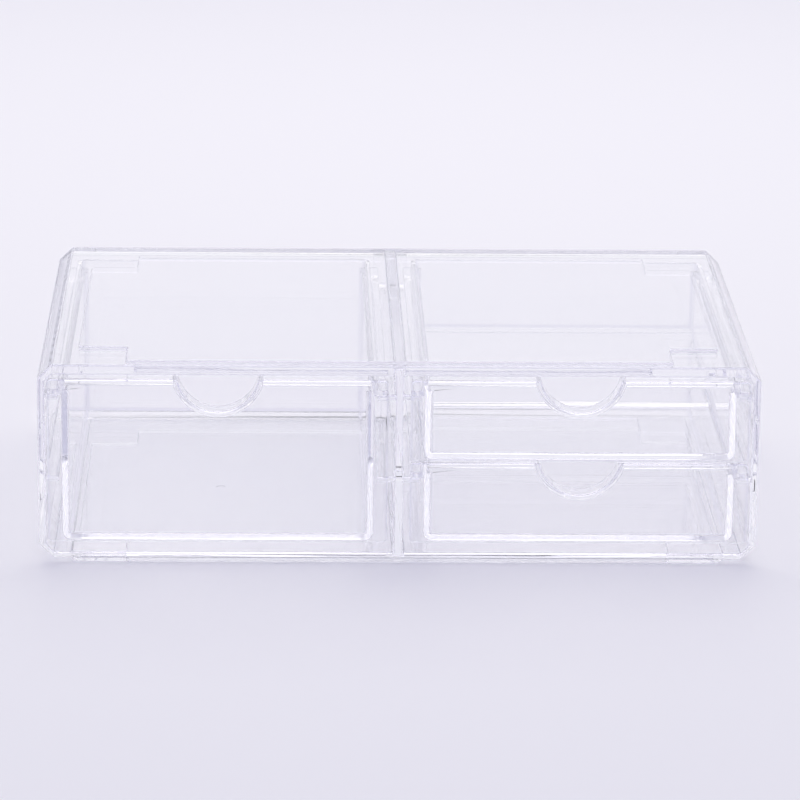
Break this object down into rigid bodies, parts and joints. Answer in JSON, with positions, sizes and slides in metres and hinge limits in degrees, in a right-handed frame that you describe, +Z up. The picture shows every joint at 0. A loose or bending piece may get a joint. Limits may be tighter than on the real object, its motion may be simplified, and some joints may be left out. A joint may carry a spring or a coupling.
{
  "type": "desk organizer",
  "caption": "Clear low desk organizer: open-fronted bevelled case with a centre divider and sliding drawers, each with a half-moon finger notch; the tops and bases nest for stacking.",
  "frame": {"origin": "centre of the base, on the surface that the organizer stands on", "axes": "+X to the right along the width, +Y from the drawer fronts to the back, +Z up"},
  "size_m": [0.3, 0.188, 0.0871],
  "materials": {
    "case_clear": "clear injection-moulded polystyrene, polished",
    "divider_clear": "clear injection-moulded polystyrene, polished",
    "drawer_clear": "clear injection-moulded polystyrene, polished"
  },
  "bodies": {
    "case": {"case_shell": "case_clear", "divider": "divider_clear"},
    "left_drawer": {"drawer_left_tall": "drawer_clear"},
    "upper_drawer": {"drawer_right_upper": "drawer_clear"},
    "lower_drawer": {"drawer_right_lower": "drawer_clear"}
  },
  "joints": [
    {"name": "left_slide", "type": "slide", "parent": "case", "child": "left_drawer", "axis": [0, -1, 0], "range_m": [0, 0.15]},
    {"name": "upper_slide", "type": "slide", "parent": "case", "child": "upper_drawer", "axis": [0, -1, 0], "range_m": [0, 0.15]},
    {"name": "lower_slide", "type": "slide", "parent": "case", "child": "lower_drawer", "axis": [0, -1, 0], "range_m": [0, 0.15]}
  ]
}
